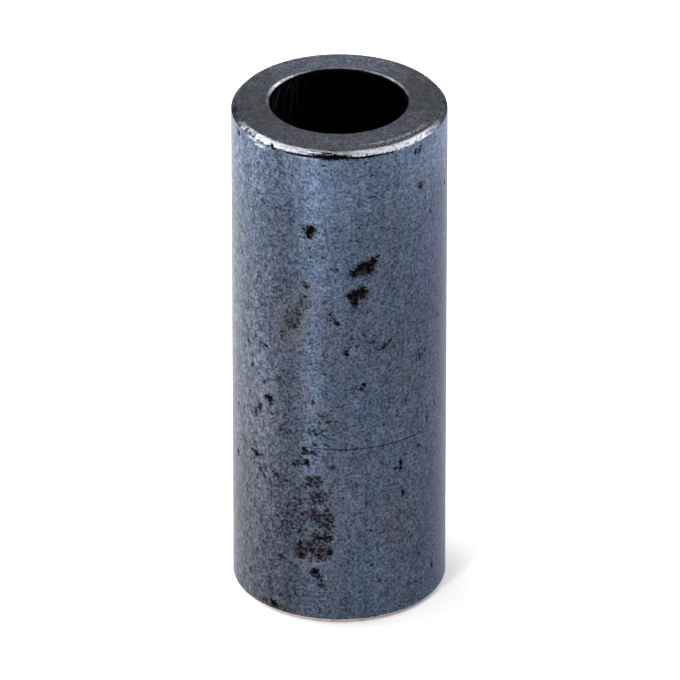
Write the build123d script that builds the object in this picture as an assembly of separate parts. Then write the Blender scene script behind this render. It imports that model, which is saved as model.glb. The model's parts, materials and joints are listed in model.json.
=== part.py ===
"""Spacer sleeve: a plain thick-walled steel tube, cut off, faced at both ends and chamfered.

It stands on its lower end. The origin is the centre of the lower end face, +Z runs up the axis of
the bore, and every size is in millimetres.
"""

from build123d import *

import os

# Driving sizes
outer_diameter = 16.0  # outside of the tube
bore_diameter = 10.0  # hole that the bolt or shaft goes through
length = 40.0  # over both end faces
outer_chamfer = 0.4  # 45 degree chamfer where each end face meets the outside
bore_edge_break = 0.15  # 45 degree break where each end face meets the bore

outer_radius = outer_diameter / 2
bore_radius = bore_diameter / 2
wall = outer_radius - bore_radius


def wall_section():
    """Section of the wall on the XZ plane, with its outer corners chamfered and its bore corners broken."""
    with BuildSketch(Plane.XZ) as section:
        with Locations((bore_radius, 0)):
            Rectangle(wall, length, align=(Align.MIN, Align.MIN))
        corners = section.vertices().group_by(Axis.X)
        chamfer(corners[-1], outer_chamfer)
        chamfer(corners[0], bore_edge_break)
    return section.sketch


def spacer_sleeve():
    """The whole sleeve: its wall's section turned once round the bore's axis."""
    return revolve(wall_section(), Axis.Z)


PARTS = {"spacer_sleeve": spacer_sleeve}

os.makedirs("parts", exist_ok=True)
for node, make in PARTS.items():
    export_step(make(), f"parts/{node}.step")
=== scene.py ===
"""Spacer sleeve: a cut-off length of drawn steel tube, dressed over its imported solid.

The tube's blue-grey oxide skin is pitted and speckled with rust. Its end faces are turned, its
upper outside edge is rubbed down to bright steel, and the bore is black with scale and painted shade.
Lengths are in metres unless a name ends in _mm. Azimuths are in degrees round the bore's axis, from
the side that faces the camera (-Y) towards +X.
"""

import json
import math

import bpy
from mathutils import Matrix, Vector


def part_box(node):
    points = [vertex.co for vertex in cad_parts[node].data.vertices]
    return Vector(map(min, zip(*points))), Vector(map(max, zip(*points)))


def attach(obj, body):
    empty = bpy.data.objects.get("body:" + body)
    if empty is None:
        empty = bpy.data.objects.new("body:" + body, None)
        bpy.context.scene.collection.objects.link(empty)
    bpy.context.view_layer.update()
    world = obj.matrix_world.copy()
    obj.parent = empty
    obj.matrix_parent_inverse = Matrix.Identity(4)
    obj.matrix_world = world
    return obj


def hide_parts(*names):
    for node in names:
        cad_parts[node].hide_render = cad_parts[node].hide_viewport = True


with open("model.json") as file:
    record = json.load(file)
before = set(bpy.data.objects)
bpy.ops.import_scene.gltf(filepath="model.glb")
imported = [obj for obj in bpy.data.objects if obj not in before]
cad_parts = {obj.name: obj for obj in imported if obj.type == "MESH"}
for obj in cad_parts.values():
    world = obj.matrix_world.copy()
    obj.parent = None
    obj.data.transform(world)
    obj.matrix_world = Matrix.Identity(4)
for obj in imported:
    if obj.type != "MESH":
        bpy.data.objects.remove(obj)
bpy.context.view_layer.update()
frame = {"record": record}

MM = 0.001
NODE = "spacer_sleeve"

# Sizes of the sleeve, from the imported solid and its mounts
low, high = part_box(NODE)
mounts = {mount["name"]: mount for mount in frame["record"]["mounts"]}
outer_radius = mounts["outside"]["dims"]["r_mm"] * MM
bore_radius = mounts["bore"]["dims"]["r_mm"] * MM
length = high.z - low.z
chamfer = (length - mounts["outside"]["dims"]["length_mm"] * MM) / 2
edge_break = (length - mounts["bore"]["dims"]["length_mm"] * MM) / 2
outer_radius_mm, bore_radius_mm, length_mm = outer_radius / MM, bore_radius / MM, length / MM
chamfer_mm, edge_break_mm = chamfer / MM, edge_break / MM

# How finely the skin is divided
COLUMNS = 300  # round the sleeve
BLUNT_MM = 0.03  # how far back each corner of the section is blunted

# How deep the wear and the turning go
TURNING_DEPTH_MM = 0.012
WALL_DIP_MM = 0.02
PIT_DEPTH_MM = 0.10
RUST_DEPTH_MM = 0.025
CHIP_DEPTH_MM = 0.07
RIM_WEAR_MM = 0.03
TURNING_LINES_PER_MM = 7


class Tree:
    """Adds nodes to one node tree. Inputs are given in order or by name, as values or sockets."""

    def __init__(self, tree):
        self.tree = tree

    def add(self, kind, *inputs, named=None, **settings):
        node = self.tree.nodes.new(kind)
        for name, value in settings.items():
            setattr(node, name, value)
        for place, value in [*enumerate(inputs), *(named or {}).items()]:
            self.feed(node.inputs[place], value)
        return node

    def feed(self, socket, value):
        if isinstance(value, bpy.types.NodeSocket):
            self.tree.links.new(value, socket)
        else:
            socket.default_value = value

    def math(self, operation, *inputs, clamp=False):
        return self.add("ShaderNodeMath", *inputs, operation=operation, use_clamp=clamp).outputs[0]

    def vector(self, operation, *inputs):
        node = self.add("ShaderNodeVectorMath", *inputs, operation=operation)
        return node.outputs["Value"] if operation in ("LENGTH", "DOT_PRODUCT") else node.outputs[0]

    def ease(self, value, start, end, bottom=0.0, top=1.0):
        """value carried from start..end to bottom..top, eased at both ends and held beyond them."""
        node = self.add(
            "ShaderNodeMapRange", value, start, end, bottom, top, interpolation_type="SMOOTHSTEP"
        )
        return node.outputs[0]

    def noise(self, point, per_mm, detail=2.0, roughness=0.5, stretch=(1, 1, 1), seed=0.0, colour=False):
        """Soft noise from 0 to 1 over a point in metres, with per_mm bumps to the millimetre."""
        location, scale = (seed, -seed, 2 * seed), [s / MM for s in stretch]
        if self.tree.bl_idname == "GeometryNodeTree":
            moved = self.vector("MULTIPLY_ADD", point, scale, location)
        else:
            mapping = {"Location": location, "Scale": scale}
            moved = self.add("ShaderNodeMapping", point, named=mapping).outputs[0]
        sizes = {"Scale": per_mm, "Detail": detail, "Roughness": roughness}
        return self.add("ShaderNodeTexNoise", moved, named=sizes).outputs[int(colour)]

    def grey(self, level):
        """A level as a grey colour."""
        return self.add("ShaderNodeCombineColor", level, level, level).outputs[0]

    def mix(self, share, first, second, blend="MIX"):
        """first turned towards second, both colours, by share."""
        node = self.add("ShaderNodeMix", data_type="RGBA", blend_type=blend)
        for place, value in ((0, share), (6, first), (7, second)):
            self.feed(node.inputs[place], value)
        return node.outputs[2]


def new_group(name, kind, inputs=(), outputs=()):
    """An empty node group with sockets given as (name, type) pairs, and its input and output nodes."""
    tree = bpy.data.node_groups.new(name, kind)
    for in_out, sockets in (("INPUT", inputs), ("OUTPUT", outputs)):
        for label, form in sockets:
            tree.interface.new_socket(label, in_out=in_out, socket_type="NodeSocket" + form)
    t = Tree(tree)
    return t, t.add("NodeGroupInput").outputs, t.add("NodeGroupOutput")


def linear(red, green, blue):
    """A colour as read off a paint card, 0 to 255, as the linear colour that a shader takes."""
    share = [c / 255 for c in (red, green, blue)]
    return [*(c / 12.92 if c <= 0.04045 else ((c + 0.055) / 1.055) ** 2.4 for c in share), 1.0]


# ---------------------------------------------------------------- the turned sleeve

# Lines cut round the wall by a tool or a clamp: height, half width and depth in mm, from azimuth to azimuth
ROUND_LINES = [
    (length_mm - chamfer_mm - 0.06, 0.07, 0.06, -36, 36),
    (15.03, 0.05, 0.035, -24, 54),
    (14.03, 0.05, 0.012, -22, 12),
]
# How far the bore was drawn off the middle, along x and y
BORE_OFFSET_MM = (-0.05, 0.11)


def divided(start, end, step_mm):
    """Evenly spaced (radius, height) points from start up to but not including end."""
    run = math.dist(start, end)
    count = max(1, round(run / step_mm))
    return [tuple(a + (b - a) * i / count for a, b in zip(start, end)) for i in range(count)]


def section_points():
    """The wall's closed section in mm, from the bore's lower edge outwards and up, with blunted corners."""
    face_out, face_in = outer_radius_mm - chamfer_mm, bore_radius_mm + edge_break_mm
    wall_foot, wall_top = chamfer_mm + 0.08, length_mm - chamfer_mm - 0.04
    wall_stops = sorted(
        height + side * half_width
        for height, half_width, *_ in ROUND_LINES
        for side in (-2, -1, 0, 1, 2)
        if height + side * half_width < wall_top
    )
    corners = [
        ((face_in, 0), 0.08),
        ((face_out, 0), 0.07),
        ((outer_radius_mm, chamfer_mm), 0.22),
        *(((outer_radius_mm, height), 0.22) for height in [wall_foot, *wall_stops, wall_top]),
        ((outer_radius_mm, length_mm - chamfer_mm), 0.06),
        ((face_out, length_mm), 0.08),
        ((face_in, length_mm), 0.07),
        ((bore_radius_mm, length_mm - edge_break_mm), 0.22),
        ((bore_radius_mm, length_mm - edge_break_mm - 0.1), 1.5),
        ((bore_radius_mm, edge_break_mm + 0.1), 0.22),
        ((bore_radius_mm, edge_break_mm), 0.07),
    ]
    points = []
    for place, (corner, step_mm) in enumerate(corners):
        before, after = corners[place - 1][0], corners[(place + 1) % len(corners)][0]
        shifted = [
            tuple(a + (b - a) * BLUNT_MM / math.dist(corner, other) for a, b in zip(corner, other))
            for other in (before, after)
        ]
        straight = corner[0] == before[0] == after[0]
        start = corner if straight else shifted[1]
        if not straight:
            points.append(shifted[0])
        points += divided(start, after, step_mm)
    return points


def sleeve_tree():
    """Sweeps the section round the bore's axis, then cuts the turning lines, the wear and the dips."""
    sizes = ("Outer Radius", "Bore Radius", "Length", "Chamfer", "Edge Break", "Turning Depth", "Wall Dip")
    sizes += ("Pit Depth", "Rust Depth", "Chip Depth", "Rim Wear")
    sockets = [("Section", "Geometry"), *((name, "Float") for name in sizes), ("Columns", "Int")]
    finishes = ("Wall", "End Face", "Edge", "Bore")
    sockets += [(name + " Finish", "Material") for name in finishes]
    sockets += [("Bore Offset", "Vector")]
    t, size, out = new_group("turned_sleeve", "GeometryNodeTree", sockets, [("Sleeve", "Geometry")])

    outline = t.add("GeometryNodeMeshToCurve", size["Section"])
    circle = t.add(
        "GeometryNodeCurvePrimitiveCircle",
        named={"Resolution": size["Columns"], "Radius": size["Outer Radius"]},
    )
    upright = t.add("GeometryNodeSetCurveNormal", circle.outputs[0], mode="Z_UP")
    swept = t.add("GeometryNodeCurveToMesh", upright.outputs[0], outline.outputs[0]).outputs[0]

    place = t.add("GeometryNodeInputPosition").outputs[0]
    x, y, z = t.add("ShaderNodeSeparateXYZ", place).outputs
    level = t.add("ShaderNodeCombineXYZ", x, y).outputs[0]
    radius = t.vector("LENGTH", level)

    # Finishes, by where each face lies before anything is cut
    hair = 0.001 * MM
    on_wall = t.math("GREATER_THAN", radius, t.math("SUBTRACT", size["Outer Radius"], 10 * hair))
    in_bore = t.math("LESS_THAN", radius, t.math("ADD", size["Bore Radius"], 10 * hair))
    on_upper = t.math("GREATER_THAN", z, t.math("SUBTRACT", size["Length"], hair))
    on_end = t.math("MAXIMUM", on_upper, t.math("LESS_THAN", z, hair))
    coated = t.add("GeometryNodeSetMaterial", swept, True, size["Edge Finish"]).outputs[0]
    for where, finish in ((on_wall, "Wall"), (on_end, "End Face"), (in_bore, "Bore")):
        coated = t.add("GeometryNodeSetMaterial", coated, where, size[finish + " Finish"]).outputs[0]

    # Turning lines: rings of uneven depth on both end faces, fading out at their edges
    inner = t.math("ADD", size["Bore Radius"], size["Edge Break"])
    outer = t.math("SUBTRACT", size["Outer Radius"], size["Chamfer"])
    margin = 0.15 * MM
    ring = t.add(
        "ShaderNodeTexNoise",
        noise_dimensions="1D",
        named={"W": radius, "Scale": TURNING_LINES_PER_MM / MM, "Detail": 2.0},
    ).outputs[0]
    rise = t.ease(t.math("SUBTRACT", radius, inner), 0.0, margin)
    fall = t.ease(t.math("SUBTRACT", outer, radius), 0.0, margin)
    cut = t.math("MULTIPLY", rise, fall)
    cut = t.math("MULTIPLY", cut, t.math("MULTIPLY", ring, size["Turning Depth"]))

    # Upwards into the lower face, and downwards into the upper one
    both_up = t.math("MULTIPLY", on_end, cut)
    upper_cut = t.math("MULTIPLY", on_upper, cut)
    inward = t.math("SUBTRACT", both_up, t.math("MULTIPLY", upper_cut, 2.0))

    # The wall dips a little in long uneven strips, as drawn tube does
    strips = t.vector("MULTIPLY", place, (1 / MM, 1 / MM, 0.25 / MM))
    dips = t.add("ShaderNodeTexNoise", strips, named={"Scale": 0.16, "Detail": 2.0}).outputs[0]
    depth = t.math("MULTIPLY", dips, size["Wall Dip"])

    # Pits, rust and lines eat into the wall, and the rim is chipped and uneven
    wear = wall_wear(t, place)
    rim = rim_wear(t, place, wear)
    eaten = t.math("MULTIPLY", t.ease(wear["pit reach"], 1.5, 0.2), size["Pit Depth"])
    eaten = t.math("MAXIMUM", eaten, t.math("MULTIPLY", wear["rust"], size["Rust Depth"]))
    eaten = t.math("MAXIMUM", eaten, t.math("MULTIPLY", rim["chipped_and_shaded"], size["Chip Depth"]))
    for share, (_, _, line_depth, _, _) in zip(wear["lines"], ROUND_LINES):
        eaten = t.math("MAXIMUM", eaten, t.math("MULTIPLY", share, line_depth * MM))
    near_rim = t.ease(rim["across"], -0.5, 0.0)
    uneven = t.noise(place, 1.1, detail=2.0, seed=41.0)
    worn = t.math("MULTIPLY", near_rim, t.math("MULTIPLY", uneven, size["Rim Wear"]))
    depth = t.math("ADD", depth, t.math("ADD", eaten, worn))

    # All of that fades out over the chamfer, before the end face starts
    from_wall = t.math("SUBTRACT", size["Outer Radius"], radius)
    depth = t.math("MULTIPLY", depth, t.ease(from_wall, 0.38 * MM, 0.30 * MM))
    towards_axis = t.add("ShaderNodeVectorMath", t.vector("NORMALIZE", level), operation="SCALE")
    t.feed(towards_axis.inputs["Scale"], t.math("MULTIPLY", depth, -1.0))
    along_axis = t.add("ShaderNodeCombineXYZ", 0.0, 0.0, inward).outputs[0]
    offset = t.vector("ADD", towards_axis.outputs[0], along_axis)

    # The bore lies a little off the middle, and the faces follow it inwards from their outer edge
    follow = t.add("ShaderNodeMapRange", radius, inner, outer, 1.0, 0.0).outputs[0]
    aside = t.add("ShaderNodeVectorMath", size["Bore Offset"], operation="SCALE")
    t.feed(aside.inputs["Scale"], follow)
    offset = t.vector("ADD", offset, aside.outputs[0])
    cut_sleeve = t.add("GeometryNodeSetPosition", coated, named={"Offset": offset}).outputs[0]

    outwards = t.add("GeometryNodeFlipFaces", cut_sleeve).outputs[0]
    smooth = t.add("GeometryNodeSetShadeSmooth", outwards, True, True).outputs[0]
    t.feed(out.inputs["Sleeve"], t.add("GeometryNodeRealizeInstances", smooth).outputs[0])
    return t.tree


def turned_sleeve(finishes):
    """The skin of the whole sleeve as one closed mesh, with a finish for each kind of surface."""
    points = section_points()
    section = bpy.data.meshes.new("section")
    section.from_pydata(
        [((radius - outer_radius_mm) * MM, -height * MM, 0.0) for radius, height in points],
        [(i, (i + 1) % len(points)) for i in range(len(points))],
        [],
    )
    raw = bpy.data.objects.new("section", section)
    bpy.context.scene.collection.objects.link(raw)
    modifier = raw.modifiers.new("turning", "NODES")
    modifier.node_group = sleeve_tree()
    values = {
        "Outer Radius": outer_radius,
        "Bore Radius": bore_radius,
        "Length": length,
        "Chamfer": chamfer,
        "Edge Break": edge_break,
        "Turning Depth": TURNING_DEPTH_MM * MM,
        "Wall Dip": WALL_DIP_MM * MM,
        "Pit Depth": PIT_DEPTH_MM * MM,
        "Rust Depth": RUST_DEPTH_MM * MM,
        "Chip Depth": CHIP_DEPTH_MM * MM,
        "Rim Wear": RIM_WEAR_MM * MM,
        "Columns": COLUMNS,
        "Bore Offset": [aside * MM for aside in BORE_OFFSET_MM] + [0.0],
        **{name + " Finish": finish for name, finish in finishes.items()},
    }
    for item in modifier.node_group.interface.items_tree:
        if item.in_out == "INPUT" and item.name in values:
            modifier[item.identifier] = values[item.name]
    skin = bpy.data.meshes.new_from_object(raw.evaluated_get(bpy.context.evaluated_depsgraph_get()))
    bpy.data.objects.remove(raw)
    sleeve = bpy.data.objects.new("sleeve_skin", skin)
    bpy.context.scene.collection.objects.link(sleeve)
    return sleeve


# Colours of the skin
BLUE_OXIDE = linear(67, 79, 100)
LILAC_OXIDE = linear(73, 79, 97)
TEAL_OXIDE = linear(67, 81, 98)
UPPER_OXIDE = linear(66, 80, 99)
# A bluer tint painted on the right side as the colour of its reflection
RIGHT_REFLECTION_BLUE = linear(67, 78, 111)
TEAL_GREY = linear(74, 84, 97)
LILAC_GREY = linear(82, 82, 97)
PALE_SPECK = linear(140, 147, 158)
DARK_SPECK = linear(21, 22, 30)
WARM_STAIN = linear(94, 91, 90)
RUST_DIRT = linear(34, 31, 38)
RUST_BLACK = linear(5, 4, 5)
RUST_BROWN = linear(31, 23, 24)
DULL_STEEL = linear(62, 64, 70)
BARE_STEEL = linear(208, 211, 221)
WARM_STEEL = linear(205, 190, 188)
FACE_BLUE = linear(60, 67, 81)
FACE_LILAC = linear(66, 66, 78)
# Near black: the bore's scale, darkened further as painted shade of the bore
BORE_SCALE_AND_SHADE = linear(1, 1, 1)
BORE_GREY = linear(24, 22, 24)
BORE_SCRATCH = linear(72, 71, 76)
AVERAGE_LEVEL = 0.08  # of the oxide, as a linear grey
# Painted light and shade on the wall's skin, from azimuth to azimuth, and from its foot to its top, lightest
# at the top
PAINTED_SHADE_AROUND = [
    (-170, 1.0), (-80, 0.96), (-60, 0.96), (-48, 1.0), (-40, 0.96), (-33, 0.84), (-27, 0.75), (-23, 0.84),
    (-18, 1.0), (-8, 1.0), (8, 0.96), (30, 0.95), (37, 0.91), (45, 0.83), (54, 0.70), (62, 0.58), (70, 0.54),
    (78, 0.62), (90, 0.85), (170, 1.0),
]
PAINTED_SHADE_ALONG = [
    (0.0, 0.82), (4.6, 0.85), (10.0, 0.89), (17.0, 0.98), (24.0, 0.90), (30.0, 0.95), (34.0, 1.06),
    (36.5, 1.24), (39.6, 1.30),
]
# Painted light and shade on the upper end face, from azimuth to azimuth: lightest at the back, darkest at
# the sides
PAINTED_SHADE_OF_FACE = [
    (-180, 1.38), (-150, 1.30), (-125, 0.79), (-95, 0.43), (-60, 0.47), (-30, 0.71), (0, 0.74), (30, 0.84),
    (60, 0.74), (90, 0.43), (120, 0.58), (150, 1.19), (179, 1.38),
]
# Painted light and shade on the upper chamfer's scale, from azimuth to azimuth
PAINTED_SHADE_OF_EDGE = [
    (-179, 2.2), (-130, 2.0), (-112, 1.2), (-88, 0.5), (-72, 0.5), (-62, 1.0), (-52, 0.8), (-30, 0.9),
    (30, 0.9), (60, 1.0), (85, 1.1), (112, 1.4), (130, 2.0), (179, 2.2),
]

# ---------------------------------------------------------------- wear on the wall

# Each mark is azimuth, height, half its width, half its height (mm) and how far it leans (degrees)
PITS = [
    # the heart-shaped pit high on the wall
    (-15.0, 33.4, 0.34, 0.36, 0), (-17.5, 33.2, 0.30, 0.24, -15), (-16.3, 32.9, 0.24, 0.28, 0),
    # a pair of rust pits that run up to the right
    (7.8, 29.9, 0.34, 0.22, 30), (11.4, 30.3, 0.34, 0.26, 35), (15.4, 30.3, 0.40, 0.46, 0),
    (18.2, 30.8, 0.28, 0.28, 0), (20.4, 31.1, 0.26, 0.08, 30),
    # the forked pit below them
    (9.9, 28.2, 0.46, 0.30, 0), (6.0, 28.0, 0.24, 0.18, 0), (13.7, 28.3, 0.26, 0.17, -10),
    (8.4, 27.5, 0.26, 0.30, 10), (12.5, 28.6, 0.20, 0.16, 0),
    # single pits
    (-0.7, 25.7, 0.20, 0.12, -30), (-32.4, 23.9, 0.10, 0.15, 0), (3.8, 23.2, 0.17, 0.20, 0),
    (12.8, 20.5, 0.15, 0.15, 0), (12.0, 20.1, 0.13, 0.14, 0), (34.9, 13.2, 0.11, 0.30, 0),
    (34.9, 12.7, 0.18, 0.24, 0), (32.0, 12.8, 0.20, 0.09, 0), (36.0, 10.5, 0.13, 0.17, 0),
    (-18.9, 14.8, 0.18, 0.18, 0), (-17.7, 13.7, 0.18, 0.22, 0), (-25.1, 13.3, 0.20, 0.14, 0),
    (-40.6, 18.4, 0.24, 0.28, 0), (-50.2, 13.0, 0.28, 0.16, -50), (-37.9, 0.9, 0.30, 0.22, -30),
    # the rusted patch near the foot
    (-21.7, 6.8, 0.12, 0.20, 0), (-21.2, 5.8, 0.14, 0.15, 0), (-9.5, 7.4, 0.34, 0.08, 0),
    (-5.6, 7.5, 0.16, 0.10, 0), (-14.8, 6.2, 0.08, 0.12, 0), (-11.4, 5.9, 0.12, 0.07, 0),
    (-4.8, 6.2, 0.10, 0.18, 0), (-13.1, 4.4, 0.16, 0.14, 0), (-9.7, 3.8, 0.12, 0.09, -30),
    # the far side
    (128.0, 27.5, 0.30, 0.24, 20), (131.0, 27.0, 0.20, 0.20, 0), (165.0, 12.0, 0.22, 0.30, 0),
    (-122.0, 21.5, 0.28, 0.20, 30), (-158.0, 31.0, 0.20, 0.20, 0), (98.0, 8.0, 0.22, 0.16, 0),
]
SPECKS = [
    (-7.9, 38.8, 0.17, 0.10, 0), (13.9, 39.0, 0.11, 0.12, 0), (17.3, 38.0, 0.14, 0.10, 0),
    (16.9, 36.1, 0.24, 0.07, 10), (47.1, 38.7, 0.10, 0.24, -15), (48.0, 35.8, 0.16, 0.14, 0),
    (56.6, 33.2, 0.14, 0.14, 0), (76.0, 34.3, 0.14, 0.14, 0), (-1.5, 30.2, 0.12, 0.15, 0),
    (-15.4, 31.1, 0.11, 0.09, 0), (-18.2, 28.7, 0.24, 0.08, -10), (-18.6, 28.6, 0.09, 0.18, 0),
    (-68.0, 36.4, 0.12, 0.12, 0), (-71.0, 28.9, 0.12, 0.12, 0), (-64.0, 29.3, 0.12, 0.12, 0),
    (-74.0, 27.1, 0.12, 0.15, 0), (-48.3, 28.3, 0.10, 0.10, 0), (-31.4, 24.5, 0.22, 0.12, 0),
    (-22.3, 25.7, 0.13, 0.11, 0), (-24.0, 25.2, 0.14, 0.14, 0), (-57.4, 22.3, 0.15, 0.12, 0),
    (-43.2, 22.7, 0.38, 0.08, -15), (-53.2, 20.5, 0.14, 0.24, 0), (-22.3, 23.0, 0.20, 0.06, 0),
    (14.0, 25.7, 0.10, 0.10, 0), (12.8, 24.7, 0.12, 0.10, 0), (6.2, 24.4, 0.12, 0.10, 0),
    (8.7, 23.9, 0.14, 0.09, 0), (17.9, 24.0, 0.21, 0.09, 0), (24.8, 23.4, 0.24, 0.11, 25),
    (21.7, 23.2, 0.14, 0.10, 0), (28.0, 23.8, 0.20, 0.06, 50), (52.9, 21.8, 0.10, 0.15, 0),
    (47.8, 21.6, 0.11, 0.22, 0), (64.8, 24.0, 0.12, 0.15, 0), (32.3, 21.3, 0.10, 0.10, 0),
    (-43.9, 19.5, 0.20, 0.11, -20), (-39.4, 17.9, 0.14, 0.18, 0), (-47.5, 17.4, 0.14, 0.24, -20),
    (-50.7, 16.5, 0.10, 0.18, 0), (-38.5, 17.1, 0.10, 0.12, 0), (-70.0, 16.0, 0.12, 0.15, 0),
    (-14.2, 18.9, 0.14, 0.11, 0), (-5.6, 17.4, 0.18, 0.13, 0), (-1.9, 17.4, 0.11, 0.08, 0),
    (-12.1, 16.3, 0.18, 0.08, 0), (-32.5, 16.1, 0.21, 0.09, 20), (-13.0, 15.4, 0.11, 0.18, -30),
    (-7.6, 15.4, 0.08, 0.10, 0), (37.8, 18.2, 0.16, 0.11, 0), (32.4, 17.3, 0.14, 0.10, 0),
    (54.6, 15.9, 0.15, 0.20, 0), (61.6, 16.6, 0.06, 0.24, 0), (-13.8, 14.6, 0.28, 0.13, -20),
    (47.5, 14.0, 0.11, 0.18, 0), (-70.5, 11.9, 0.12, 0.24, 0), (-47.7, 11.9, 0.14, 0.20, 30),
    (-44.2, 11.6, 0.28, 0.09, -30), (-35.6, 12.0, 0.24, 0.16, 0), (-36.1, 11.1, 0.18, 0.11, 0),
    (-29.8, 11.8, 0.12, 0.12, 0), (-3.5, 13.5, 0.19, 0.11, 15), (-44.4, 5.8, 0.24, 0.11, -35),
    (-32.8, 5.2, 0.34, 0.11, -20), (-56.2, 2.7, 0.19, 0.19, 0), (-6.9, 0.3, 0.10, 0.16, 0),
    (17.6, 8.0, 0.19, 0.05, 10), (22.5, 3.5, 0.14, 0.14, 0), (45.5, 2.3, 0.15, 0.10, 0),
    (59.9, 2.9, 0.14, 0.18, 0), (47.2, 4.7, 0.10, 0.10, 0), (17.6, 5.0, 0.12, 0.14, 0),
]
CRACKS = [
    (-3.5, 26.2, 0.24, 0.05, -50), (-7.6, 21.4, 0.20, 0.05, 30), (-11.4, 17.9, 0.30, 0.05, -35),
    (-7.9, 17.8, 0.25, 0.05, 10), (-4.7, 18.2, 0.40, 0.05, 55), (-0.5, 18.7, 0.35, 0.05, 15),
    (-14.0, 16.5, 0.30, 0.05, -20), (-9.0, 16.5, 0.30, 0.05, 20), (-52.1, 13.8, 0.30, 0.05, -20),
    (14.6, 10.3, 0.04, 0.30, -10), (24.0, 7.6, 0.45, 0.03, 12), (30.5, 7.5, 0.40, 0.03, 15),
]
# Where rust has broken through in crumbs: the same five, with how thickly last
RUST_ZONES = [
    (-10.0, 6.3, 1.05, 0.90, 0, 0.97), (-9.0, 7.5, 1.00, 0.50, 0, 0.96),
    (-21.3, 6.1, 0.70, 0.85, 0, 0.97), (-16.5, 6.6, 0.80, 0.80, 0, 0.88),
    (-7.5, 9.0, 0.75, 1.30, 0, 0.93), (-13.5, 9.3, 1.30, 0.75, 0, 0.93),
    (-14.0, 12.2, 0.85, 0.65, 20, 0.93), (-11.5, 10.8, 0.90, 0.90, 0, 0.87),
    (-12.8, 4.3, 0.50, 0.45, 0, 0.96), (-9.8, 3.3, 0.40, 0.30, 0, 0.88),
    (-26.0, 8.6, 1.90, 2.60, 0, 0.70), (-38.0, 12.2, 2.00, 0.55, -10, 0.66),
    (-50.0, 13.2, 0.90, 0.25, 0, 0.90), (-41.0, 18.3, 0.50, 0.35, 0, 0.95),
    (-50.0, 16.9, 1.10, 0.40, 35, 0.75), (-22.0, 13.7, 0.90, 0.50, 10, 0.75),
    (-18.0, 14.6, 0.50, 0.30, 0, 0.80), (-13.0, 14.7, 0.45, 0.25, 0, 0.80),
    (-8.0, 17.4, 1.00, 0.90, 0, 0.66), (-12.5, 16.3, 0.80, 0.50, 0, 0.66),
    (-34.0, 16.0, 0.80, 0.50, 20, 0.66), (-32.0, 24.2, 0.45, 0.45, 0, 0.72),
    (-26.0, 25.6, 0.80, 1.60, -25, 0.77), (-18.5, 28.8, 0.50, 0.40, 0, 0.66),
    (-19.0, 27.3, 0.70, 0.90, 0, 0.78), (-12.0, 6.6, 1.30, 1.60, 0, 0.82),
    (-16.0, 9.0, 2.30, 4.00, 0, 0.72), (12.0, 24.2, 2.20, 0.80, 0, 0.60),
    (23.0, 23.5, 1.30, 0.35, 15, 0.72), (-4.0, 26.2, 0.60, 0.50, -50, 0.70),
    (-38.0, 0.7, 2.50, 0.40, 0, 0.70), (-60.0, 9.0, 2.20, 9.00, 0, 0.46), (-40.0, 9.0, 3.0, 6.0, 0, 0.46),
    (47.5, 21.8, 1.00, 0.80, 0, 0.66), (47.0, 38.9, 0.80, 0.40, 0, 0.75),
    (48.0, 35.9, 0.70, 0.50, 0, 0.72), (13.0, 30.2, 1.20, 0.70, 25, 0.84),
    (9.5, 28.1, 0.95, 0.60, 0, 0.84), (30.0, 17.5, 4.00, 2.50, 0, 0.42), (10.0, 19.5, 3.0, 2.5, 0, 0.42),
    (-48.0, 28.0, 2.5, 5.0, 0, 0.45),
    # the far side
    (128.5, 27.3, 0.90, 0.80, 0, 0.84), (165.0, 12.0, 1.00, 1.40, 0, 0.75),
    (-121.0, 21.0, 1.40, 1.00, 20, 0.80), (150.0, 5.0, 2.50, 1.20, 0, 0.66),
    (-160.0, 30.0, 1.50, 2.50, 0, 0.60), (-105.0, 8.0, 2.00, 4.00, 0, 0.60),
    (105.0, 20.0, 2.00, 5.00, 0, 0.50),
]
# Warm stains round the rust, in the same way
STAINS = [
    (-19.5, 27.8, 0.8, 1.5, -10, 0.7), (-27.0, 25.0, 1.1, 1.7, -35, 0.8), (-15.6, 32.4, 0.2, 0.3, 0, 0.9),
    (-8.5, 18.0, 1.0, 1.1, 0, 0.5), (-13.0, 12.0, 1.2, 1.0, 0, 0.3), (-12.5, 6.3, 1.6, 1.7, 0, 0.3),
    (-42.0, 18.4, 1.0, 1.1, 0, 0.5), (48.5, 35.7, 0.6, 0.6, 0, 0.8), (33.0, 10.2, 0.4, 0.4, 0, 0.6),
    (-36.0, 0.7, 2.6, 0.6, 0, 0.7),
]
# Patches of painted shade and of painted light on the wall, in the same way
PAINTED_DARKER_PLACES = [
    (-4.0, 17.5, 1.0, 7.0, 0, 0.20), (-27.0, 16.0, 0.9, 7.0, 0, 0.15), (-17.0, 2.6, 1.8, 2.2, 0, 0.20),
    (10.5, 30.0, 0.9, 5.0, 0, 0.08), (-56.0, 12.0, 1.2, 7.0, 0, 0.10), (-76.0, 11.0, 2.2, 9.0, 0, 0.25),
]
PAINTED_PALER_PLACES = [
    (3.0, 35.8, 0.9, 1.6, 0, 0.16), (3.0, 29.3, 0.9, 2.6, 0, 0.16), (-46.0, 18.0, 1.3, 6.0, 0, 0.15),
    (26.0, 3.0, 1.6, 2.5, 0, 0.18), (52.0, 32.5, 1.7, 5.0, 0, 0.15),
]
# Dark nicks on the upper end face: azimuth, radius, half width, half height (mm) and lean
NICKS = [
    (-74.0, 6.8, 0.40, 0.08, 0), (-36.0, 7.0, 0.15, 0.15, 0), (-83.0, 7.2, 0.45, 0.06, 0),
    (72.5, 7.3, 0.28, 0.12, 30), (82.0, 7.0, 0.50, 0.06, 15), (88.0, 6.7, 0.40, 0.05, 10),
    (-152.0, 6.7, 0.12, 0.12, 0), (-115.0, 6.6, 0.25, 0.07, 0), (-75.0, 6.1, 0.20, 0.07, 0),
    (121.0, 6.9, 0.15, 0.08, 0), (-158.0, 5.30, 0.22, 0.16, 0),
]
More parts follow.
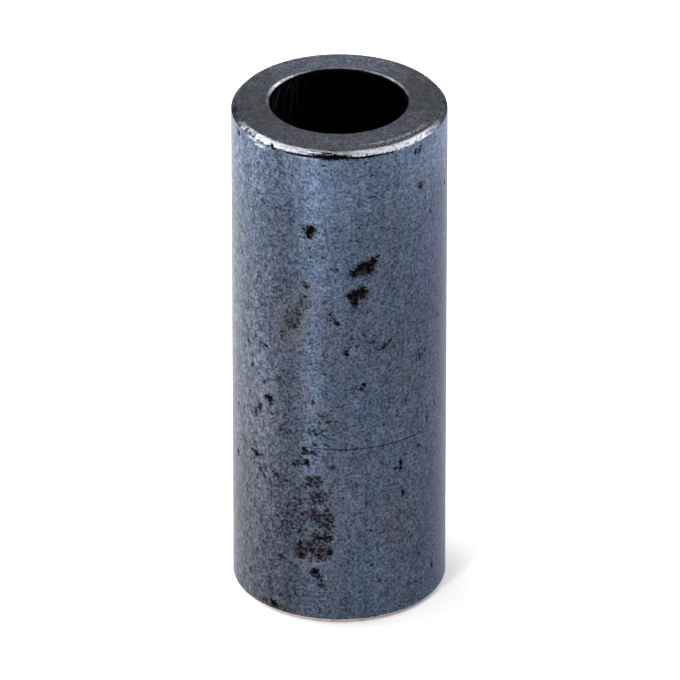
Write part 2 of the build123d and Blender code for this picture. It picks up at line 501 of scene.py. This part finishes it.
# Bright flakes, and dark chips and painted shadows beside the upper chamfer: azimuth, how far up and
# in from its lower edge, half width, half height (mm) and lean
FLAKES = [(-46.5, -0.33, 0.50, 0.11, 6), (-54.0, -0.10, 0.50, 0.11, 0)]
# The first dark mark is a shadow painted below the rim's lip, and the last two darken the line under the rim
# as dirt and painted shade; the rest are chips
CHIPS_AND_RIM_SHADOWS = [
    (-4.5, 0.10, 1.60, 0.30, 0), (-7.0, 0.34, 0.50, 0.26, 0), (-38.6, 0.16, 0.16, 0.20, 30),
    (-37.0, -0.06, 0.22, 0.12, 0), (-40.6, 0.02, 0.10, 0.08, 0), (-67.5, -0.55, 0.20, 0.22, 20),
    (13.0, -0.05, 1.4, 0.09, 0), (-22.0, -0.03, 1.1, 0.10, 0),
]
# The streak of bare steel left in the middle of the widest chip
STREAKS = [(-6.0, 0.30, 0.30, 0.035, 8), (-11.0, 0.42, 0.35, 0.05, 0)]
# The thin light edge that stands below the line round the rim
LIGHT_EDGE = (-24.0, -0.27, 1.6, 0.07, 0)
# How bare the steel of the upper chamfer is, from azimuth to azimuth
RUBBED = [
    (-80, 0.0), (-74, 0.0), (-68, 0.09), (-63, 0.16), (-57, 0.17), (-52, 0.38), (-47, 0.62), (-43, 0.66),
    (-39, 0.58), (-32, 0.78), (-24, 0.70), (-19, 0.48), (-15, 0.24), (-10, 0.17), (-2, 0.22), (4, 0.36),
    (9, 0.72), (20, 0.98), (32, 1.0), (44, 0.88), (51, 0.72), (57, 0.42), (64, 0.22), (70, 0.06), (76, 0.0),
    (82, 0.0),
]
# The lip of the bore in the same way
LIP_RUBBED = [
    (-179, 0.04), (-160, 0.02), (-152, 0.16), (-142, 0.40), (-132, 0.80), (-121, 0.80), (-112, 0.62),
    (-105, 0.20), (-98, 0.03), (-88, 0.10), (-82, 0.0), (-50, 0.0), (50, 0.0), (98, 0.0), (108, 0.12),
    (121, 0.34), (131, 0.55), (142, 0.58), (150, 0.42), (158, 0.14), (170, 0.08), (179, 0.04),
]


def sleeve_place(t, place):
    """Azimuth in degrees, arc, height and radius in mm of a place given in metres."""
    x, y, z = t.add("ShaderNodeSeparateXYZ", place).outputs
    around = t.math("ARCTAN2", x, t.math("MULTIPLY", y, -1.0))
    return (
        t.math("MULTIPLY", around, 180 / math.pi),
        t.math("MULTIPLY", around, outer_radius_mm),
        t.math("MULTIPLY", z, 1 / MM),
        from_axis(t, place),
    )


def turned_from(t, azimuth, middle):
    """How many degrees an azimuth lies to either side of another."""
    return t.math("ABSOLUTE", t.math("SUBTRACT", azimuth, middle))


def from_axis(t, place, aside_mm=(0.0, 0.0)):
    """Distance in mm from an upright axis that stands aside of the middle."""
    x, y, z = t.add("ShaderNodeSeparateXYZ", place).outputs
    off = [t.math("SUBTRACT", along, aside * MM) for along, aside in zip((x, y), aside_mm)]
    squares = t.math("MULTIPLY_ADD", off[0], off[0], t.math("MULTIPLY", off[1], off[1]))
    return t.math("MULTIPLY", t.math("SQRT", squares), 1 / MM)


def reach(t, flat, mark):
    """Squared distance of a flat place (arc, height, 1) from a mark's middle; 1 is its outline."""
    azimuth, height, half_width, half_height, lean = mark[:5]
    arc = math.radians(azimuth) * outer_radius_mm
    cos, sin = math.cos(math.radians(lean)), math.sin(math.radians(lean))
    along = (cos / half_width, sin / half_width, -(arc * cos + height * sin) / half_width)
    across = (-sin / half_height, cos / half_height, (arc * sin - height * cos) / half_height)
    off_along, off_across = t.vector("DOT_PRODUCT", flat, along), t.vector("DOT_PRODUCT", flat, across)
    return t.math("MULTIPLY_ADD", off_across, off_across, t.math("MULTIPLY", off_along, off_along))


def nearest(t, flat, marks):
    """Distance from the middle of the nearest mark, where 1 is its outline."""
    best = reach(t, flat, marks[0])
    for mark in marks[1:]:
        best = t.math("MINIMUM", best, reach(t, flat, mark))
    return t.math("SQRT", best)


def zones(t, flat, marks):
    """Soft patches that each rise to their own share in the middle."""
    total = 0.0
    for mark in marks:
        patch = t.ease(reach(t, flat, mark), 2.2, 0.1, 0.0, mark[5])
        total = t.math("MAXIMUM", total, patch)
    return total


def wall_wear(t, place):
    """Where the wall is pitted, rusted, cracked and scored, for its shape as for its finish."""
    azimuth, arc, height, radius = sleeve_place(t, place)
    flat = t.add("ShaderNodeCombineXYZ", arc, height, 1.0).outputs[0]
    grain = t.noise(place, 5.0, detail=1.0, roughness=0.6, seed=2.0)
    crumbs = t.noise(place, 4.2, detail=2.0, roughness=0.7, seed=17.0)
    clumps = t.noise(place, 1.6, detail=2.0, seed=19.0)

    # Outlines are pushed about and roughened by a fine and a coarse unevenness
    uneven = t.noise(place, 2.6, detail=2.0, roughness=0.6, seed=23.0, colour=True)
    pushed = t.vector("MULTIPLY_ADD", uneven, (0.50, 0.50, 0.0), (-0.25, -0.25, 0.0))
    flat = t.vector("ADD", flat, pushed)
    ragged = t.math("MULTIPLY", t.math("SUBTRACT", crumbs, 0.5), 2.2)
    ragged = t.math("MULTIPLY_ADD", t.math("SUBTRACT", grain, 0.5), 2.0, ragged)

    rusting = zones(t, flat, RUST_ZONES)
    rust_from = t.ease(rusting, 0.0, 1.0, 0.84, 0.44)
    rust_from = t.math("ADD", rust_from, t.math("MULTIPLY", t.math("SUBTRACT", clumps, 0.5), 0.26))
    wear = {
        "azimuth": azimuth,
        "height": height,
        "radius": radius,
        "flat": flat,
        "grain": grain,
        "crumbs": crumbs,
        "ragged": ragged,
        "rusting": rusting,
        "rust": t.ease(t.math("SUBTRACT", crumbs, rust_from), -0.04, 0.09),
        "pit reach": t.math("ADD", nearest(t, flat, PITS), ragged),
        "lines": [],
    }
    for line_height, half_width, _, start, end in ROUND_LINES:
        off = t.math("ABSOLUTE", t.math("SUBTRACT", height, line_height))
        line = t.ease(t.math("MULTIPLY_ADD", ragged, 0.02, off), half_width * 1.5, half_width * 0.5)
        line = t.math("MULTIPLY", line, t.ease(azimuth, start, start + 14))
        wear["lines"].append(t.math("MULTIPLY", line, t.ease(azimuth, end, end - 14)))
    return wear


def rim_wear(t, place, wear):
    """Where the upper chamfer is rubbed bare, where it is chipped and where shade is painted below its lip,
    beside the face and the wall.
    """
    azimuth, height, radius = wear["azimuth"], wear["height"], wear["radius"]

    # 0 along the chamfer's lower edge, and twice its size along its upper edge
    across = t.math("ADD", height, t.math("MULTIPLY", radius, -1.0))
    across = t.math("ADD", across, outer_radius_mm - length_mm + chamfer_mm)

    # The rubbed band has an uneven outline, most of all at the front left
    uneven = t.math("SUBTRACT", t.noise(place, 1.7, detail=4.0, roughness=0.65, seed=31.0), 0.5)
    rough = t.ease(turned_from(t, azimuth, -60.0), 32.0, 16.0, 0.25, 0.70)
    fray = t.math("SUBTRACT", t.noise(place, 5.5, detail=1.0, seed=33.0), 0.5)
    edge = t.math("MULTIPLY_ADD", fray, 0.28, t.math("MULTIPLY_ADD", uneven, rough, across))
    frayed = t.math("MULTIPLY_ADD", fray, 2.4, t.math("MULTIPLY", uneven, -1.2))
    top = 2 * chamfer_mm
    share = t.math("MULTIPLY", t.ease(edge, -0.05, 0.17), t.ease(edge, top + 0.02, top - 0.26))

    # Within it the steel shows through scuffs drawn out along the rim, and in patches further left
    arc = t.math("MULTIPLY", azimuth, math.pi / 180 * outer_radius_mm)
    flat = t.add("ShaderNodeCombineXYZ", arc, across, 1.0).outputs[0]
    drawn_out = t.vector("MULTIPLY", flat, (0.9, 4.0, 0.0))
    scuff_noise = {"Scale": 1.0, "Detail": 3.0, "Roughness": 0.6}
    scuffs = t.add("ShaderNodeTexNoise", drawn_out, named=scuff_noise).outputs[0]
    kept = t.math("ADD", t.math("MULTIPLY_ADD", uneven, 0.8, 1.0), t.math("MULTIPLY_ADD", scuffs, 2.2, -1.1))
    kept = t.math("MULTIPLY_ADD", fray, 2.2, kept)
    patchy = t.ease(turned_from(t, azimuth, -67.0), 17.0, 9.0, 0.0, 11.0)
    kept = t.math("MULTIPLY_ADD", t.math("SUBTRACT", t.noise(place, 1.9, seed=35.0), 0.5), patchy, kept)
    share = t.math("MULTIPLY", share, t.math("MULTIPLY", kept, graded(t, azimuth, -180, 180, RUBBED)))

    # Flakes, streaks and a light edge are bare too; chips and the shade painted below the rim's lip stay
    # dark
    flakes = t.ease(t.math("ADD", frayed, nearest(t, flat, FLAKES)), 1.5, 0.5, 0.0, 0.6)
    streaks = t.ease(t.math("ADD", frayed, nearest(t, flat, STREAKS)), 1.5, 0.5, 0.0, 0.3)
    light_edge = t.ease(t.math("ADD", frayed, nearest(t, flat, [LIGHT_EDGE])), 1.6, 0.4, 0.0, 0.10)
    streaks = t.math("MAXIMUM", streaks, light_edge)
    chip_and_shadow_reach = t.math("MULTIPLY_ADD", frayed, -0.6, nearest(t, flat, CHIPS_AND_RIM_SHADOWS))
    chipped_and_shaded = t.ease(chip_and_shadow_reach, 1.30, 0.70)
    # On the wall, the line under the rim goes black with them, as dirt in it and painted shade
    if wear.get("lines"):
        chipped_and_shaded = t.math("MAXIMUM", chipped_and_shaded, wear["lines"][0])
    bare = t.math("MULTIPLY", t.math("MAXIMUM", share, flakes), t.math("SUBTRACT", 1.0, chipped_and_shaded))
    return {"across": across, "chipped_and_shaded": chipped_and_shaded, "bare": t.math("MAXIMUM", bare, streaks, clamp=True)}


# ---------------------------------------------------------------- finishes


def new_finish(name):
    """An empty material, and its tree, surface shader and place on the sleeve."""
    material = bpy.data.materials.new(name)
    material.use_nodes = True
    material.node_tree.nodes.clear()
    t = Tree(material.node_tree)
    shader = t.add("ShaderNodeBsdfPrincipled")
    t.add("ShaderNodeOutputMaterial", shader.outputs[0])
    return material, t, shader.inputs, t.add("ShaderNodeTexCoord").outputs["Object"]


def graded(t, value, lowest, highest, stops):
    """A level that changes evenly between stops given as (value, level)."""
    run = highest - lowest
    ramp = t.add("ShaderNodeValToRGB", t.math("MULTIPLY_ADD", value, 1 / run, -lowest / run))
    elements = ramp.color_ramp.elements
    elements.remove(elements[1])
    elements[0].position = (stops[0][0] - lowest) / run
    for stop, _ in stops[1:]:
        elements.new((stop - lowest) / run)
    for element, (_, level) in zip(elements, stops):
        element.color = (level, level, level, 1.0)
    return t.add("ShaderNodeSeparateXYZ", ramp.outputs[0]).outputs[0]


def brushed_round(t, surface, amount):
    """Fine marks left by turning, which draw highlights out along the bore's axis."""
    surface["Anisotropic"].default_value = amount
    surface["Anisotropic Rotation"].default_value = 0.25
    t.feed(surface["Tangent"], t.add("ShaderNodeTangent", direction_type="RADIAL", axis="Z").outputs[0])


def wall_finish():
    """Blue-grey oxide over drawn steel, with specks, rust pits, stains and a rubbed upper edge."""
    material, t, surface, place = new_finish("oxide_skin")
    wear = wall_wear(t, place)
    azimuth, height, flat = wear["azimuth"], wear["height"], wear["flat"]
    grain, crumbs = wear["grain"], wear["crumbs"]

    # How far round to the left a place lies, where the skin is more worn and greyer
    left = t.math("MULTIPLY", t.ease(azimuth, -8.0, -48.0), t.ease(azimuth, -175.0, -125.0))

    # Broad patches of oxide colour, bluer towards the top
    patches = t.noise(place, 0.35, detail=1.0, stretch=(1, 1, 0.45), seed=1.7)
    tone = t.mix(t.ease(patches, 0.35, 0.65), BLUE_OXIDE, LILAC_OXIDE)
    teal = t.noise(place, 0.55, detail=1.0, seed=8.3)
    tone = t.mix(t.ease(teal, 0.45, 0.75, 0.0, 0.7), tone, TEAL_OXIDE)
    tone = t.mix(t.ease(height, 27.0, 36.0, 0.0, 0.6), tone, UPPER_OXIDE)
    # Painted reflection: the right side is tinted bluer, less so near the top
    right = t.ease(turned_from(t, azimuth, 85.0), 50.0, 18.0)
    tone = t.mix(t.math("MULTIPLY", right, t.ease(height, 37.0, 28.0, 0.2, 0.9)), tone, RIGHT_REFLECTION_BLUE)
    greyness = t.math("MULTIPLY", left, t.ease(turned_from(t, height, 11.0), 26.0, 2.0, 0.05, 0.9))
    greys = t.noise(place, 0.8, detail=2.0, seed=27.0)
    tone = t.mix(greyness, tone, t.mix(t.ease(greys, 0.40, 0.60), TEAL_GREY, LILAC_GREY))

    # Lighter and darker strips along the sleeve, painted light and shade round it and along it, and mottling
    # that grows to the left
    streaks = t.noise(place, 1.3, detail=3.0, stretch=(1, 1, 0.10), seed=4.4)
    light = t.ease(streaks, 0.25, 0.75, 0.90, 1.10)
    # Painted shade from azimuth to azimuth, in dark bands and on the right side, held off near the top
    around = t.math("SUBTRACT", graded(t, azimuth, -180, 180, PAINTED_SHADE_AROUND), 1.0)
    around = t.math("MULTIPLY_ADD", around, t.ease(height, 39.0, 34.0), 1.0)
    light = t.math("MULTIPLY", light, around)
    # Painted light and shade from the foot to the top, lightest at the top
    light = t.math("MULTIPLY", light, graded(t, height, 0, length_mm, PAINTED_SHADE_ALONG))
    # Painted shade: the lower left of the wall is darkened
    low_left = t.math("MULTIPLY", left, t.ease(height, 16.0, 3.0, 0.0, 0.20))
    light = t.math("MULTIPLY", light, t.math("SUBTRACT", 1.0, low_left))
    # Painted light: the right side is lightened near the foot and near the top
    at_ends = t.math("ADD", t.ease(height, 5.0, 1.0, 0.0, 0.20), t.ease(height, 26.0, 38.0, 0.0, 0.24))
    at_right = t.ease(turned_from(t, azimuth, 60.0), 38.0, 14.0)
    light = t.math("MULTIPLY", light, t.math("MULTIPLY_ADD", at_right, at_ends, 1.0))
    # Painted shade in some patches and painted light in others
    light = t.math("MULTIPLY", light, t.math("SUBTRACT", 1.0, zones(t, flat, PAINTED_DARKER_PLACES)))
    light = t.math("MULTIPLY", light, t.math("ADD", 1.0, zones(t, flat, PAINTED_PALER_PLACES)))
    mottling = t.noise(place, 1.7, detail=3.0, roughness=0.65, seed=6.0)
    mottled = t.math("MULTIPLY", t.math("SUBTRACT", mottling, 0.49), t.ease(left, 0.0, 1.0, 1.7, 3.2))
    light = t.math("MULTIPLY", light, t.math("ADD", 1.0, mottled))
    tone = t.mix(1.0, tone, t.grey(light), "MULTIPLY")

    # Fine grain: part of it deepens the colour, and part adds a plain grey to it
    rise = t.math("MULTIPLY", t.math("SUBTRACT", grain, 0.49), t.ease(left, 0.0, 1.0, 1.5, 1.8))
    tone = t.mix(1.0, tone, t.grey(t.math("ADD", 1.0, rise)), "MULTIPLY")
    tone = t.mix(1.0, tone, t.grey(t.math("MULTIPLY", rise, AVERAGE_LEVEL)), "ADD")

    # Pale and dark specks, closer together on the left
    pale = t.noise(place, 4.2, detail=1.0, seed=11.0)
    pale_from = t.ease(left, 0.0, 1.0, 0.72, 0.62)
    pale_share = t.ease(t.math("SUBTRACT", pale, pale_from), 0.0, 0.10)
    tone = t.mix(t.math("MULTIPLY", pale_share, 0.25), tone, PALE_SPECK)
    dark = t.noise(place, 3.4, detail=2.0, roughness=0.6, seed=14.0)
    dark_from = t.ease(left, 0.0, 1.0, 0.645, 0.60)
    dark_share = t.ease(t.math("SUBTRACT", dark, dark_from), 0.0, 0.08)
    tone = t.mix(t.math("MULTIPLY", dark_share, 0.8), tone, DARK_SPECK)

    # Warm stains, then specks, cracks, rust crumbs, pits and lines
    stain = t.math("MULTIPLY", zones(t, flat, STAINS), t.ease(crumbs, 0.35, 0.65, 0.15, 0.6))
    tone = t.mix(stain, tone, WARM_STAIN)
    pits = t.ease(wear["pit reach"], 1.35, 0.75)
    fringe = t.ease(wear["pit reach"], 2.2, 1.1, 0.0, 0.45)
    specks = t.ease(t.math("ADD", nearest(t, flat, SPECKS), wear["ragged"]), 1.70, 0.60)
    cracks = t.ease(t.math("ADD", nearest(t, flat, CRACKS), wear["ragged"]), 1.90, 0.50, 0.0, 0.9)
    dirt = t.ease(wear["rusting"], 0.55, 1.0, 0.0, 0.75)
    dirt = t.math("MULTIPLY", dirt, t.ease(grain, 0.40, 0.60, 0.2, 1.0))
    tone = t.mix(dirt, tone, RUST_DIRT)
    tone = t.mix(fringe, tone, RUST_BROWN)
    tone = t.mix(t.math("MULTIPLY", specks, 0.95), tone, DARK_SPECK)
    tone = t.mix(cracks, tone, RUST_BLACK)
    rust_share = t.math("MULTIPLY", wear["rust"], 0.92)
    tone = t.mix(rust_share, tone, t.mix(t.ease(grain, 0.45, 0.62), RUST_BLACK, RUST_BROWN))
    tone = t.mix(pits, tone, RUST_BLACK)
    # Cut lines are painted black by their depth: dirt in them, and painted shade inside them
    for share, (_, _, depth, _, _) in zip(wear["lines"], ROUND_LINES):
        tone = t.mix(t.math("MULTIPLY", share, min(0.95, depth * 26)), tone, RUST_BLACK)

    rim = rim_wear(t, place, wear)
    # Chips, and the shade painted below the rim's lip and along the line under it, go black
    tone = t.mix(rim["chipped_and_shaded"], tone, RUST_BLACK)
    t.feed(surface["Base Color"], t.mix(rim["bare"], tone, BARE_STEEL))
    corroded = t.math("MAXIMUM", wear["rust"], t.math("MAXIMUM", pits, t.math("MULTIPLY", specks, 0.8)))
    corroded = t.math("MAXIMUM", corroded, rim["chipped_and_shaded"])
    t.feed(surface["Roughness"], t.ease(corroded, 0.0, 1.0, 0.48, 0.9))
    t.feed(surface["Metallic"], t.ease(corroded, 0.0, 1.0, 0.95, 0.0))
    # Painted sheen: the clear coat is thicker over the left and front than over the right and back
    sheen = t.ease(turned_from(t, azimuth, -60.0), 80.0, 120.0, 0.2, 0.06)
    t.feed(surface["Coat Weight"], t.math("MULTIPLY", sheen, t.ease(corroded, 1.0, 0.0)))
    surface["Coat Roughness"].default_value = 0.2
    surface["Specular IOR Level"].default_value = 0.02
    brushed_round(t, surface, 0.8)
    relief = t.math("SUBTRACT", t.math("MULTIPLY", grain, 0.5), t.math("MAXIMUM", wear["rust"], dark_share))
    t.feed(surface["Normal"], t.add("ShaderNodeBump", 1.0, 0.02 * MM, named={"Height": relief}).outputs[0])
    return material


def edge_finish():
    """Both chamfers and the bore's edges: bare steel where rubbed, dull where the scale has stayed."""
    material, t, surface, place = new_finish("rubbed_edge")
    azimuth, _, height, radius = sleeve_place(t, place)
    wear = {"azimuth": azimuth, "height": height, "radius": radius}
    grain = t.noise(place, 4.0, detail=2.0, seed=3.0)
    blotches = t.noise(place, 1.5, detail=3.0, roughness=0.6, seed=12.0)

    # Bare along the upper rim, round the foot and along the bore's lip
    rim = rim_wear(t, place, wear)
    foot = t.math("MULTIPLY", t.ease(height, 1.0, 0.5), t.ease(blotches, 0.32, 0.45, 0.2, 0.95))
    foot = t.math("MULTIPLY", foot, t.ease(turned_from(t, azimuth, -20.0), 80.0, 30.0, 0.35, 1.0))
    from_lip, lip = lip_wear(t, place, azimuth)
    bare = t.math("MAXIMUM", t.math("MAXIMUM", rim["bare"], foot), lip)

    # Elsewhere dull steel with painted light and shade round the sleeve. It turns black in the chips, in
    # the shade painted below the rim's lip, and inside the bore's lip as black scale and painted shade
    shade = t.math("MULTIPLY", t.ease(grain, 0.25, 0.75, 0.5, 1.5), t.ease(blotches, 0.32, 0.68, 0.4, 1.6))
    # Painted light and shade round the sleeve
    shade = t.math("MULTIPLY", shade, graded(t, azimuth, -180, 180, PAINTED_SHADE_OF_EDGE))
    dull = t.mix(1.0, DULL_STEEL, t.grey(shade), "MULTIPLY")
    black_scale_and_shade = t.math("MAXIMUM", rim["chipped_and_shaded"], t.ease(from_lip, 0.3, -0.02))
    tone = t.mix(black_scale_and_shade, dull, RUST_BLACK)
    t.feed(surface["Base Color"], t.mix(bare, tone, t.mix(t.ease(height, 1.0, 0.5), BARE_STEEL, WARM_STEEL)))
    # Painted sheen: the scale shines like metal at the front and turns dull at the sides and back
    scale_shine = t.ease(t.math("ABSOLUTE", azimuth), 30.0, 66.0, 0.9, 0.02)
    skin_shine = t.math("MULTIPLY", scale_shine, t.math("SUBTRACT", 1.0, black_scale_and_shade))
    t.feed(surface["Metallic"], t.math("MAXIMUM", bare, skin_shine, clamp=True))
    surface["Specular IOR Level"].default_value = 0.0
    surface["Roughness"].default_value = 0.38
    return material


def lip_wear(t, place, azimuth):
    """How far in mm a place lies outside the bore's mouth, and how bare the steel of its lip is."""
    from_lip = t.math("SUBTRACT", from_axis(t, place, BORE_OFFSET_MM), bore_radius_mm + edge_break_mm)
    uneven = t.math("SUBTRACT", t.noise(place, 1.6, detail=4.0, roughness=0.65, seed=37.0), 0.5)
    edge = t.math("MULTIPLY_ADD", uneven, 0.25, from_lip)
    wide = t.ease(turned_from(t, azimuth, -115.0), 8.0, 40.0, 0.28, 0.18)
    past_lip = t.ease(from_lip, -0.05, 0.02)
    share = t.math("MULTIPLY", past_lip, t.ease(t.math("SUBTRACT", edge, wide), 0.08, -0.08))
    kept = t.math("MULTIPLY_ADD", uneven, 4.5, 0.9)
    share = t.math("MULTIPLY", share, t.math("MULTIPLY", kept, graded(t, azimuth, -180, 180, LIP_RUBBED)))
    return from_lip, t.math("MAXIMUM", share, 0.0, clamp=True)


def face_finish():
    """Turned end faces: dark grey, with rings left by the tool, and fine specks."""
    material, t, surface, place = new_finish("turned_face")
    azimuth, arc, height, radius = sleeve_place(t, place)
    wear = {"azimuth": azimuth, "height": height, "radius": radius}
    rings = t.add(
        "ShaderNodeTexNoise",
        noise_dimensions="1D",
        named={"W": radius, "Scale": 6.0, "Detail": 3.0, "Roughness": 0.7},
    ).outputs[0]
    mottle = t.noise(place, 1.1, detail=4.0, roughness=0.65, seed=5.0)
    grain = t.noise(place, 4.5, detail=2.0, roughness=0.7, seed=9.0)
    light = t.ease(rings, 0.2, 0.8, 0.65, 1.35)
    light = t.math("MULTIPLY", light, t.ease(mottle, 0.28, 0.72, 0.46, 1.54))
    light = t.math("MULTIPLY", light, t.ease(grain, 0.28, 0.72, 0.20, 1.80))
    # Painted light and shade round the face
    light = t.math("MULTIPLY", light, graded(t, azimuth, -180, 180, PAINTED_SHADE_OF_FACE))
    hue = t.ease(t.noise(place, 0.45, detail=3.0, roughness=0.6, seed=21.0), 0.38, 0.62)
    tone = t.mix(1.0, t.mix(hue, FACE_BLUE, FACE_LILAC), t.grey(light), "MULTIPLY")

    # A paler ring near the outer edge, which drifts outwards as it goes round
    off = t.math("SUBTRACT", radius, t.math("MULTIPLY_ADD", azimuth, 0.005, 6.92))
    paler = t.ease(t.math("ABSOLUTE", off), 0.22, 0.06, 0.0, 0.16)
    stretch = t.math("MULTIPLY", t.ease(azimuth, 10.0, 22.0), t.ease(azimuth, 68.0, 50.0))
    paler = t.math("MULTIPLY", paler, stretch)
    darker = t.ease(t.math("ABSOLUTE", t.math("SUBTRACT", off, 0.28)), 0.10, 0.02, 0.0, 0.35)
    stretch = t.math("MULTIPLY", t.ease(azimuth, 10.0, 22.0), t.ease(azimuth, 80.0, 60.0))
    darker = t.math("MULTIPLY", darker, stretch)
    tone = t.mix(t.math("MULTIPLY", paler, t.ease(grain, 0.42, 0.60, 0.2, 1.9)), tone, BARE_STEEL)
    tone = t.mix(darker, tone, RUST_BLACK)

    flat = t.add("ShaderNodeCombineXYZ", arc, radius, 1.0).outputs[0]
    ragged = t.math("MULTIPLY_ADD", t.math("SUBTRACT", grain, 0.5), 3.0, nearest(t, flat, NICKS))
    on_upper = t.math("GREATER_THAN", height, length_mm / 2)
    nicked = t.math("MULTIPLY", t.ease(ragged, 1.5, 0.4, 0.0, 0.75), on_upper)
    pinholes = t.noise(place, 2.6, detail=2.0, roughness=0.6, seed=43.0)
    nicked = t.math("MAXIMUM", nicked, t.ease(pinholes, 0.62, 0.72, 0.0, 0.7))

    rim = rim_wear(t, place, wear)
    from_lip, lip = lip_wear(t, place, azimuth)
    tone = t.mix(t.math("MAXIMUM", rim["bare"], lip), tone, BARE_STEEL)
    t.feed(surface["Base Color"], t.mix(nicked, tone, RUST_BLACK))
    surface["Metallic"].default_value = 0.9
    surface["Roughness"].default_value = 0.45
    t.feed(surface["Normal"], t.add("ShaderNodeBump", 1.0, 0.01 * MM, named={"Height": rings}).outputs[0])
    return material


def bore_finish():
    """Black scale inside the bore, darkened further as painted shade, with slanting scratches near the mouth
    on its left.
    """
    material, t, surface, place = new_finish("bore_scale")
    azimuth, arc, height, _ = sleeve_place(t, place)
    flat = t.add("ShaderNodeCombineXYZ", arc, height, 1.0).outputs[0]
    slant = [t.vector("DOT_PRODUCT", flat, line) for line in ((0.4, 0.25, 0.0), (3.0, 3.8, 0.0))]
    slanting = t.add("ShaderNodeCombineXYZ", *slant).outputs[0]
    scratches = t.add("ShaderNodeTexNoise", slanting, named={"Scale": 1.3, "Detail": 2.0}).outputs[0]
    near_mouth = t.ease(height, length_mm - 2.4, length_mm - 0.4)
    near_mouth = t.math("MULTIPLY", near_mouth, t.ease(azimuth, -75.0, -100.0))
    near_mouth = t.math("MULTIPLY", near_mouth, t.ease(azimuth, -150.0, -130.0))
    share = t.math("MULTIPLY", t.ease(scratches, 0.53, 0.72, 0.0, 0.6), near_mouth)

    # Greyer upright streaks on the same side
    upright = t.vector("MULTIPLY", flat, (2.2, 0.25, 0.0))
    streaks = t.add("ShaderNodeTexNoise", upright, named={"Scale": 1.0, "Detail": 3.0}).outputs[0]
    greyer = t.math("MULTIPLY", t.ease(streaks, 0.45, 0.75), t.ease(azimuth, -60.0, -85.0))
    greyer = t.math("MULTIPLY", greyer, t.ease(azimuth, -165.0, -140.0))
    # The bore's black is its scale and painted shade
    tone = t.mix(greyer, BORE_SCALE_AND_SHADE, BORE_GREY)
    t.feed(surface["Base Color"], t.mix(share, tone, BORE_SCRATCH))
    surface["Roughness"].default_value = 0.8
    surface["Specular IOR Level"].default_value = 0.0
    return material


# ---------------------------------------------------------------- camera, floor and light

middle = (low + high) / 2
CAMERA_ELEVATION = 29.1
CAMERA_DISTANCE = 100 * outer_radius
CAMERA_SHIFT = (0.0009, -0.0015)
CAMERA_CLIP = (0.01, 10)
LENS_MM = 568
FLOOR_HALF_SIDE = 2.0
FLOOR_COLOUR = (0.9, 0.9, 0.9, 1)
WORLD_STRENGTH = 1.0
# Softboxes: azimuth and elevation in degrees, distance, width and height in metres, and power in watts
SOFTBOXES = {
    "strip_light": (-27, 28, 0.14, 0.022, 0.10, 0.10),
    "side_light": (-122, 25, 0.30, 0.45, 0.20, 1.1),
    "far_side_light": (125, 25, 0.40, 0.30, 0.20, 0.5),
}


def aim(thing, towards):
    thing.rotation_euler = (Vector(towards) - thing.location).to_track_quat("-Z", "Y").to_euler()


def add_camera():
    camera = bpy.data.objects.new("camera", bpy.data.cameras.new("camera"))
    tilt = math.radians(CAMERA_ELEVATION)
    camera.location = middle + CAMERA_DISTANCE * Vector((0, -math.cos(tilt), math.sin(tilt)))
    camera.data.lens = LENS_MM
    camera.data.clip_start, camera.data.clip_end = CAMERA_CLIP
    camera.data.shift_x, camera.data.shift_y = CAMERA_SHIFT
    aim(camera, middle)
    bpy.context.scene.collection.objects.link(camera)
    bpy.context.scene.camera = camera


def add_floor():
    mesh = bpy.data.meshes.new("floor")
    signs = ((-1, -1), (1, -1), (1, 1), (-1, 1))
    corners = [(x * FLOOR_HALF_SIDE, y * FLOOR_HALF_SIDE, low.z) for x, y in signs]
    mesh.from_pydata(corners, [], [(0, 1, 2, 3)])
    floor = bpy.data.objects.new("floor", mesh)
    bpy.context.scene.collection.objects.link(floor)
    material, _, surface, _ = new_finish("pale_floor")
    surface["Base Color"].default_value = FLOOR_COLOUR
    surface["Roughness"].default_value = 1.0
    surface["Specular IOR Level"].default_value = 0.0
    mesh.materials.append(material)


def add_softbox(name, azimuth, elevation, distance, width, height, power):
    """An area lamp that faces the sleeve's middle."""
    data = bpy.data.lights.new(name, "AREA")
    data.shape, data.size, data.size_y, data.energy = "RECTANGLE", width, height, power
    lamp = bpy.data.objects.new(name, data)
    around, up = math.radians(azimuth), math.radians(elevation)
    lamp.location = middle + distance * Vector(
        (math.sin(around) * math.cos(up), -math.cos(around) * math.cos(up), math.sin(up))
    )
    aim(lamp, middle)
    lamp.visible_camera = False
    bpy.context.scene.collection.objects.link(lamp)


def add_world(strength):
    world = bpy.data.worlds.new("studio")
    world.use_nodes = True
    background = world.node_tree.nodes["Background"]
    background.inputs["Color"].default_value = (1, 1, 1, 1)
    background.inputs["Strength"].default_value = strength
    bpy.context.scene.world = world


finishes = {
    "Wall": wall_finish(),
    "End Face": face_finish(),
    "Edge": edge_finish(),
    "Bore": bore_finish(),
}
sleeve = turned_sleeve(finishes)
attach(sleeve, "root")
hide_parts(NODE)
add_camera()
add_floor()
add_world(WORLD_STRENGTH)
for name, placing in SOFTBOXES.items():
    add_softbox(name, *placing)
bpy.context.scene.view_settings.view_transform = "Standard"
